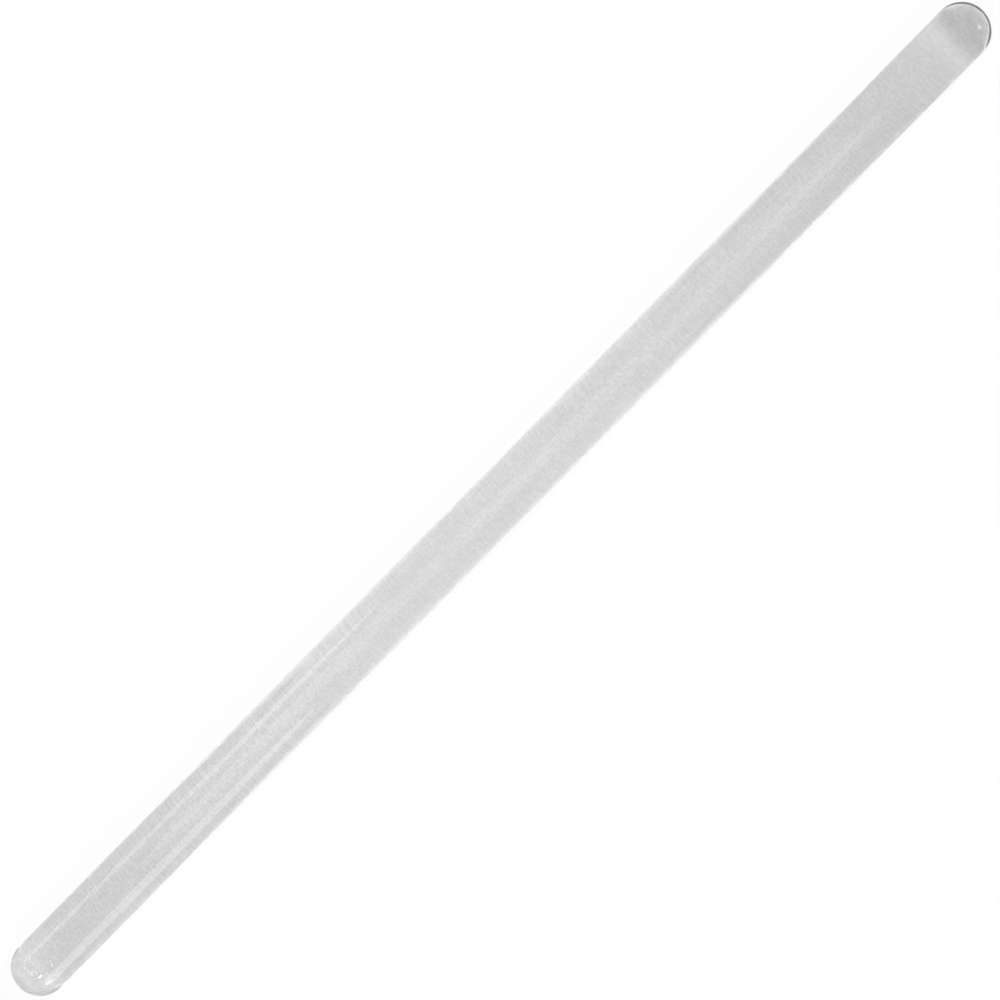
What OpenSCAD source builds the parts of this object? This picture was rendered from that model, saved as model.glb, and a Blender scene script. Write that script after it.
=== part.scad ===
// Glass stirring rod
// One length of solid glass, drawn to its diameter, cut, and melted round at both ends in a flame.
// It lies along X, with the origin on its axis, halfway between the tips. Sizes are in millimetres.

/* [Rod] */
// Length from tip to tip
rod_length = 150; // [60:1:300]
// Diameter of the drawn glass
rod_diameter = 6.3; // [4:0.1:12]

/* [Ends] */
// Length of each melted dome, from the straight shank to the tip: half the diameter is a half ball
dome_length = 3.15; // [1:0.05:8]

/* [Hidden] */
$fn = 96;
rod_radius = rod_diameter / 2;
shank_length = rod_length - 2 * dome_length;

// The melted glass at one end, centred where it leaves the shank and tangent to it there
module dome_outline() {
    scale([1, dome_length / rod_radius])
        circle(r = rod_radius);
}

// The rod cut along its axis: the shank with a dome at each end
module rod_outline() {
    square([rod_diameter, shank_length], center = true);
    for (end = [-1, 1])
        translate([0, end * shank_length / 2])
            dome_outline();
}

// The half of that outline on one side of the axis, which the rod is a revolution of
module half_outline() {
    intersection() {
        rod_outline();
        translate([0, -rod_length / 2])
            square([rod_radius, rod_length]);
    }
}

module glass_rod() {
    color([0.85, 0.86, 0.87, 0.6])
        rotate([0, 90, 0])
            rotate_extrude()
                half_outline();
}

glass_rod();
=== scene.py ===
import math

import bmesh
import bpy
from mathutils import Matrix, Vector, noise


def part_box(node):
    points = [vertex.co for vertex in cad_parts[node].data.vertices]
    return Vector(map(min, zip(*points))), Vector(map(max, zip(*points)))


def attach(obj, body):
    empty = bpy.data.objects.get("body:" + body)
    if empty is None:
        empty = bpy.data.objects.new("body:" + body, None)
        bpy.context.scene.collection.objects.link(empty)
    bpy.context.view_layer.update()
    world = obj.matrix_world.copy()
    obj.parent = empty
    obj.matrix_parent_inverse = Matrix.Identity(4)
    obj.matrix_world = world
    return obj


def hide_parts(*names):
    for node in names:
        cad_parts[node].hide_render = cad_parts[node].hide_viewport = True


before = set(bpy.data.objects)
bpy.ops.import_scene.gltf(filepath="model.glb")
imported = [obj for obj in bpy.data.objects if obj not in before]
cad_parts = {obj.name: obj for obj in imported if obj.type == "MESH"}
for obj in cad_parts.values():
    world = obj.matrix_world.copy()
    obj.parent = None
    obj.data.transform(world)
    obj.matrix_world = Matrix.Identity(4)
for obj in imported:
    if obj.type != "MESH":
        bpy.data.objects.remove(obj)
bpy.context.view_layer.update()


# ---- Glass rod ----
# One length of solid clear glass, drawn to its diameter, cut, and melted round at both ends in a flame.
# Drawing leaves faint lines along it, the flame leaves the melted ends a little uneven, and use has left one
# fine scratch. It lies along X.
rod_low, rod_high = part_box("glass_rod")
rod_half_length = rod_high.x
rod_radius = max(rod_high.y, rod_high.z)
straight_half = rod_half_length - rod_radius
# The points round the rod, and the rings of them along the shank and on each dome
sides = 160
shank_rings = 220
dome_rings = 44

# The skin is set in by this much, so that its relief does not stand proud of the full radius
skin_allowance = 0.00002
# How far the rod is from round, and the phase of that about the axis in radians
out_of_round = 0.000004
out_of_round_phase = 1
# The waves that drawing left along the rod: how high they are, how closely they follow each other, and which
# part of the pattern they are taken from
draw_wave = 0.000003
draw_wave_fineness = 130
draw_wave_pattern = 4
# Draw lines: turn about the axis at the middle of the line (0 is +Y, 90 is the top), half width in degrees,
# height, where it starts and ends along the rod, and the degrees that it turns on its way
draw_lines = (
    (84, 3.0, 0.000009, 0.000, 0.018, 2),
    (96, 2.6, -0.000007, -0.030, 0.006, -3),
    (57, 3.4, 0.000006, -0.071, -0.030, 4),
    (124, 3.6, 0.000009, -0.071, -0.046, -2),
    (140, 3.0, -0.000006, 0.010, 0.070, 4),
    (49, 3.0, -0.000006, 0.020, 0.071, -4),
    (250, 3.2, 0.000007, -0.060, 0.020, 6),
    (285, 3.0, -0.000007, -0.020, 0.070, -5),
)
# The share of its length over which a line on the skin fades away at each of its ends
line_fade = 0.3
# Unevenness of the melted glass: how deep its dimples are at the low and at the high end, how wide they are,
# and how far they reach onto the shank
low_melt_depth = 0.000007
high_melt_depth = 0.000006
melt_dimple = 0.0009
melt_reach = 0.003
# The small dimples among them: how many times finer, their share of the depth, and their place in the pattern
small_dimple_fineness = 2.1
small_dimple_share = 0.5
small_dimple_shift = Vector((7, 3, 5))
# The scratch: turn about the axis at its middle and the degrees that it turns on its way, where it starts and
# ends along the rod, the half widths in degrees of its groove and of the rubbed edge beside it, and how many
# degrees that edge lies from the middle of the groove
scratch_turn = 56
scratch_drift = -30
scratch_start = -0.0645
scratch_end = -0.0540
groove_half_width = 1.3
rub_half_width = 1.8
rub_offset = 3.2
# Around the scratch the mesh is this many times finer both ways. These are the turns in degrees between which
# it is: the whole way of the groove, and a few degrees past it on both sides
finer = 4
fine_turns = (36, 76)


def ease(value, start, end):
    """0 before start, 1 after end, and a smooth rise between them."""
    step = min(1.0, max(0.0, (value - start) / (end - start)))
    return step * step * (3 - 2 * step)


def line_strength(along, start, end):
    """1 along the middle of a line on the skin, and a slow fade to 0 at its ends."""
    fade = (end - start) * line_fade
    return ease(along, start, start + fade) * (1 - ease(along, end - fade, end))


def degrees_off_line(along, turn, middle, start, end, drift):
    """How many degrees a place lies beside a line on the skin."""
    centre = middle + drift * ((along - start) / (end - start) - 0.5)
    return (math.degrees(turn) - centre + 180) % 360 - 180


def draw_line_height(along, turn):
    """What the draw lines add to the radius at one place."""
    height = 0.0
    for middle, half_width, line_height, start, end, drift in draw_lines:
        strength = line_strength(along, start, end)
        if strength > 0:
            off = degrees_off_line(along, turn, middle, start, end, drift)
            height += line_height * strength * math.exp(-((off / half_width) ** 2))
    return height


def scratch_wear(along, turn):
    """How much of the scratch's dark groove and of its rubbed clean edge there is at one place."""
    strength = line_strength(along, scratch_start, scratch_end)
    off = degrees_off_line(along, turn, scratch_turn, scratch_start, scratch_end, scratch_drift)
    groove = strength * math.exp(-((off / groove_half_width) ** 2))
    rub = strength * math.exp(-(((off - rub_offset) / rub_half_width) ** 2))
    return groove, rub


def melt_unevenness(along, turn, radius):
    """The dimples of the melted ends at one place."""
    low = low_melt_depth * (1 - ease(along, -straight_half, -straight_half + melt_reach))
    high = high_melt_depth * ease(along, straight_half - melt_reach, straight_half)
    if low + high == 0:
        return 0.0
    place = Vector((along, radius * math.cos(turn), radius * math.sin(turn))) / melt_dimple
    small_dimples = noise.noise(place * small_dimple_fineness + small_dimple_shift)
    return (low + high) * (noise.noise(place) + small_dimple_share * small_dimples)


def skin_relief(along, turn, radius):
    """How far the real skin lies outside or inside the perfect rod."""
    wave = noise.noise(Vector((along * draw_wave_fineness, 0, draw_wave_pattern)))
    relief = out_of_round * math.cos(2 * turn + out_of_round_phase) + draw_wave * wave
    return relief + draw_line_height(along, turn) + melt_unevenness(along, turn, radius) - skin_allowance


def rod_profile():
    """The distance along the axis and the radius there, from the low tip to the high tip."""
    stations = []
    for step in range(1, dome_rings + 1):
        turn = math.pi / 2 * step / dome_rings
        stations.append((-straight_half - rod_radius * math.cos(turn), rod_radius * math.sin(turn)))
    ring_gap = 2 * straight_half / shank_rings
    for step in range(1, shank_rings):
        along = -straight_half + ring_gap * step
        parts = finer if scratch_start - ring_gap < along < scratch_end else 1
        for part in range(parts):
            stations.append((along + ring_gap * part / parts, rod_radius))
    for step in range(dome_rings, 0, -1):
        turn = math.pi / 2 * step / dome_rings
        stations.append((straight_half + rod_radius * math.cos(turn), rod_radius * math.sin(turn)))
    return stations


def turns_round_the_rod():
    """The turns about the axis at which the skin has its points."""
    turns = []
    side_turn = 2 * math.pi / sides
    for side in range(sides):
        parts = finer if fine_turns[0] < math.degrees(side_turn * side) < fine_turns[1] else 1
        for part in range(parts):
            turns.append(side_turn * (side + part / parts))
    return turns


def rod_skin_point(along, turn, radius):
    """A point of the skin. The relief stands square to the perfect surface."""
    core = max(-straight_half, min(straight_half, along))
    outward = Vector((along - core, radius * math.cos(turn), radius * math.sin(turn))).normalized()
    return Vector((core, 0, 0)) + outward * (rod_radius + skin_relief(along, turn, radius))


def rod_mesh():
    """The closed skin of the rod, which carries the wear of the scratch."""
    mesh = bpy.data.meshes.new("stirring_rod")
    skin = bmesh.new()
    groove_layer = skin.verts.layers.float.new("scratch_groove")
    rub_layer = skin.verts.layers.float.new("scratch_rub")
    turns = turns_round_the_rod()
    low_tip = skin.verts.new(rod_skin_point(-rod_half_length, 0, 0))
    rings = []
    for along, radius in rod_profile():
        ring = []
        for turn in turns:
            point = skin.verts.new(rod_skin_point(along, turn, radius))
            point[groove_layer], point[rub_layer] = scratch_wear(along, turn)
            ring.append(point)
        rings.append(ring)
    high_tip = skin.verts.new(rod_skin_point(rod_half_length, 0, 0))
    for side in range(len(turns)):
        after = (side + 1) % len(turns)
        skin.faces.new((low_tip, rings[0][after], rings[0][side]))
        for here, there in zip(rings, rings[1:]):
            skin.faces.new((here[side], here[after], there[after], there[side]))
        skin.faces.new((high_tip, rings[-1][side], rings[-1][after]))
    bmesh.ops.recalc_face_normals(skin, faces=skin.faces)
    for face in skin.faces:
        face.smooth = True
    skin.to_mesh(mesh)
    skin.free()
    return mesh


# Clear soda glass. The tint is a faint, cool grey, which deepens with the length of glass looked through.
glass_ior = 1.5
glass_tint = (0.9690, 0.9718, 0.9735, 1.0)
glass_density = 180.0
clean_glass = (1.0, 1.0, 1.0, 1.0)
filmed_glass = (0.78, 0.78, 0.78, 1.0)
groove_glass = (0.62, 0.62, 0.62, 1.0)
clean_roughness = 0.0
filmed_roughness = 0.06
# The film is a pattern of fine patches: how fine they are, how many finer layers they carry and how strongly.
# Then the levels of the pattern at which the darkening and the haze start, and at which each is full.
film_grain = 3500.0
film_layers = 3.0
film_layer_strength = 0.6
film_start = 0.35
film_full = 0.75
haze_start = 0.45
haze_full = 0.8


def clear_glass():
    """Clear glass with a faint, patchy film from handling, and the scratch in it."""
    glass = bpy.data.materials.new("clear_glass")
    glass.use_nodes = True
    tree = glass.node_tree
    shader = tree.nodes["Principled BSDF"]
    shader.inputs["Transmission Weight"].default_value = 1
    shader.inputs["IOR"].default_value = glass_ior

    place = tree.nodes.new("ShaderNodeTexCoord")
    film = tree.nodes.new("ShaderNodeTexNoise")
    film.inputs["Scale"].default_value = film_grain
    film.inputs["Detail"].default_value = film_layers
    film.inputs["Roughness"].default_value = film_layer_strength
    tree.links.new(place.outputs["Object"], film.inputs["Vector"])

    film_colour = tree.nodes.new("ShaderNodeValToRGB")
    film_colour.color_ramp.elements[0].position = film_start
    film_colour.color_ramp.elements[0].color = clean_glass
    film_colour.color_ramp.elements[1].position = film_full
    film_colour.color_ramp.elements[1].color = filmed_glass
    tree.links.new(film.outputs["Fac"], film_colour.inputs["Fac"])

    worn = film_colour
    for wear, wear_colour in (("scratch_groove", groove_glass), ("scratch_rub", clean_glass)):
        amount = tree.nodes.new("ShaderNodeAttribute")
        amount.attribute_name = wear
        mix = tree.nodes.new("ShaderNodeMixRGB")
        mix.inputs["Color2"].default_value = wear_colour
        tree.links.new(amount.outputs["Fac"], mix.inputs["Fac"])
        tree.links.new(worn.outputs["Color"], mix.inputs["Color1"])
        worn = mix
    tree.links.new(worn.outputs["Color"], shader.inputs["Base Color"])

    film_haze = tree.nodes.new("ShaderNodeMapRange")
    film_haze.inputs["From Min"].default_value = haze_start
    film_haze.inputs["From Max"].default_value = haze_full
    film_haze.inputs["To Min"].default_value = clean_roughness
    film_haze.inputs["To Max"].default_value = filmed_roughness
    tree.links.new(film.outputs["Fac"], film_haze.inputs["Value"])
    tree.links.new(film_haze.outputs["Result"], shader.inputs["Roughness"])

    tint = tree.nodes.new("ShaderNodeVolumeAbsorption")
    tint.inputs["Color"].default_value = glass_tint
    tint.inputs["Density"].default_value = glass_density
    tree.links.new(tint.outputs["Volume"], tree.nodes["Material Output"].inputs["Volume"])
    return glass


rod = bpy.data.objects.new("stirring_rod", rod_mesh())
bpy.context.scene.collection.objects.link(rod)
rod.data.materials.append(clear_glass())
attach(rod, "root")
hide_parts("glass_rod")


# ---- Floor ----
# A wide, matt white board under the rod. It lies a hair's breadth below the glass: with that gap the dark
# band at the high dome stands out more clearly from the shank.
floor_size = 12.0
floor_gap = 0.0003
board_colour = (0.95, 0.95, 0.95, 1)
board_roughness = 0.9
board_gloss = 0.1
# How much of the board's look is plain white, the rest being the light and the shadow that fall on it.
# The rod's own shadow lies under it, so the glass shows more of it than the open board does.
open_whiteness = 0.92
whiteness_through_glass = 0.05


def white_to_viewer(tree, open_share, glass_share):
    """How plain white a surface looks: open_share seen directly or mirrored, glass_share through glass.

    It is 0 for light that something matt has already scattered, so that it adds no light to the scene.
    """
    path = tree.nodes.new("ShaderNodeLightPath")
    camera_or_mirror = tree.nodes.new("ShaderNodeMath")
    camera_or_mirror.operation = "MAXIMUM"
    in_the_open = tree.nodes.new("ShaderNodeMath")
    in_the_open.operation = "MULTIPLY"
    in_the_open.inputs[1].default_value = open_share
    share = tree.nodes.new("ShaderNodeMix")
    share.inputs["B"].default_value = glass_share
    not_scattered = tree.nodes.new("ShaderNodeMath")
    not_scattered.operation = "LESS_THAN"
    not_scattered.inputs[1].default_value = 1
    seen = tree.nodes.new("ShaderNodeMath")
    seen.operation = "MULTIPLY"
    tree.links.new(path.outputs["Is Camera Ray"], camera_or_mirror.inputs[0])
    tree.links.new(path.outputs["Is Glossy Ray"], camera_or_mirror.inputs[1])
    tree.links.new(camera_or_mirror.outputs[0], in_the_open.inputs[0])
    tree.links.new(path.outputs["Is Transmission Ray"], share.inputs["Factor"])
    tree.links.new(in_the_open.outputs[0], share.inputs["A"])
    tree.links.new(path.outputs["Diffuse Depth"], not_scattered.inputs[0])
    tree.links.new(share.outputs["Result"], seen.inputs[0])
    tree.links.new(not_scattered.outputs[0], seen.inputs[1])
    return seen.outputs[0]


def white_board():
    """Matt white board that keeps a soft shadow."""
    board = bpy.data.materials.new("white_board")
    board.use_nodes = True
    tree = board.node_tree
    matt = tree.nodes["Principled BSDF"]
    matt.inputs["Base Color"].default_value = board_colour
    matt.inputs["Roughness"].default_value = board_roughness
    matt.inputs["Specular IOR Level"].default_value = board_gloss
    white = tree.nodes.new("ShaderNodeEmission")
    mix = tree.nodes.new("ShaderNodeMixShader")
    tree.links.new(white_to_viewer(tree, open_whiteness, whiteness_through_glass), mix.inputs["Fac"])
    tree.links.new(matt.outputs["BSDF"], mix.inputs[1])
    tree.links.new(white.outputs["Emission"], mix.inputs[2])
    tree.links.new(mix.outputs[0], tree.nodes["Material Output"].inputs["Surface"])
    return board


bpy.ops.mesh.primitive_plane_add(size=floor_size, location=(0, 0, rod_low.z - floor_gap))
floor = bpy.context.active_object
floor.name = "floor"
floor.data.materials.append(white_board())


# ---- Light ----
# Two lamps far beyond the high end leave that dome's shadow right under it, which makes it the darker one. A
# panel over the low half and even light from all round lift the rest, a broad lamp behind the low end edges
# the high dome, and the strips draw the streaks on the skin. The other lamps are the glints on the two domes.
# Each lamp: name, place along the rod that it faces, bearing (0 is +X, 90 is +Y), height in degrees,
# distance, width, length, the light that it gives, where 1 alone would show white board as white, and
# whether the glass mirrors it
lamps = (
    ("main_lamp", 0.0, 4, 52, 3.0, 0.3, 0.3, 0.262, False),
    ("low_lamp", 0.0, 2, 26, 3.0, 0.3, 0.3, 0.10, False),
    ("high_glint_lamp", 0.0, -30, 6, 3.0, 0.5, 0.5, 0.010, True),
    ("back_lamp", 0.0, 180, 18, 3.0, 2.0, 2.0, 0.032, True),
    ("low_glint_lamp", 0.0, -128, 56, 3.0, 0.32, 0.32, 0.22, True),
    ("second_glint_lamp", 0.0, -111, 16, 3.0, 0.3, 0.3, 0.022, True),
    ("low_half_panel", 0.02, 180, 70, 0.14, 0.12, 0.12, 0.185, True),
    ("left_strip", -0.075, 104, 30, 0.51, 0.08, 0.20, 0.018, True),
    ("right_strip", -0.089, -104, 23, 0.51, 0.08, 0.36, 0.030, True),
    ("middle_strip", 0.007, 180, 76, 0.4, 0.05, 0.018, 0.001, True),
)
# The even light from all round, on the scale where white_light is the strength of plain white
fill_light = 0.255
white_light = 1.0
plain_white = (1, 1, 1, 1)
# How white the room looks in the open, and behind the glass, where it is dimmer so that the rod stands out
open_room_whiteness = 1.0
room_whiteness_through_glass = 0.5


def place_lamp(name, faces, bearing, height, distance, width, length, light, mirrored):
    """A lamp with an oval front, turned to one place on the rod's axis."""
    across = math.radians(bearing)
    above = math.radians(height)
    way = Vector((math.cos(above) * math.cos(across), math.cos(above) * math.sin(across), math.sin(above)))
    lamp = bpy.data.objects.new(name, bpy.data.lights.new(name, "AREA"))
    lamp.data.shape = "ELLIPSE"
    lamp.data.size = width
    lamp.data.size_y = length
    lamp.data.energy = light * math.pi ** 2 * distance ** 2 / math.sin(above)
    lamp.location = Vector((faces, 0, 0)) + way * distance
    lamp.rotation_mode = "QUATERNION"
    lamp.rotation_quaternion = way.to_track_quat("Z", "Y")
    lamp.visible_camera = False
    lamp.visible_glossy = mirrored
    bpy.context.scene.collection.objects.link(lamp)


for lamp_values in lamps:
    place_lamp(*lamp_values)

world = bpy.data.worlds.new("white_room")
bpy.context.scene.world = world
world.use_nodes = True
room = world.node_tree
fill = room.nodes["Background"]
fill.inputs["Color"].default_value = plain_white
fill.inputs["Strength"].default_value = fill_light
walls = room.nodes.new("ShaderNodeBackground")
walls.inputs["Color"].default_value = plain_white
walls.inputs["Strength"].default_value = white_light
room_mix = room.nodes.new("ShaderNodeMixShader")
white_room = white_to_viewer(room, open_room_whiteness, room_whiteness_through_glass)
room.links.new(white_room, room_mix.inputs["Fac"])
room.links.new(fill.outputs[0], room_mix.inputs[1])
room.links.new(walls.outputs[0], room_mix.inputs[2])
room.links.new(room_mix.outputs[0], room.nodes["World Output"].inputs["Surface"])


# ---- Camera ----
# Looking down on the rod, leaning a little towards its high end.
lean = math.radians(13.5)
roll = math.radians(45.41)
camera_distance = 1.773
camera_aim = Vector((0.00053, 0, 0))
# The lens and the sensor behind it in millimetres, and the nearest and farthest that is seen in metres
camera_lens = 600
camera_sensor = 36
nearest_seen = 0.01
farthest_seen = 100
camera = bpy.data.objects.new("camera", bpy.data.cameras.new("camera"))
bpy.context.scene.collection.objects.link(camera)
camera.data.lens = camera_lens
camera.data.sensor_width = camera_sensor
camera.data.clip_start = nearest_seen
camera.data.clip_end = farthest_seen
back = Vector((math.sin(lean), 0, math.cos(lean)))
ahead = Vector((math.cos(lean), 0, -math.sin(lean)))
aside = back.cross(ahead)
right = ahead * math.cos(roll) - aside * math.sin(roll)
up = back.cross(right)
facing = Matrix((right, up, back)).transposed().to_4x4()
camera.matrix_world = Matrix.Translation(camera_aim + back * camera_distance) @ facing
bpy.context.scene.camera = camera

bpy.context.scene.view_settings.view_transform = "Standard"
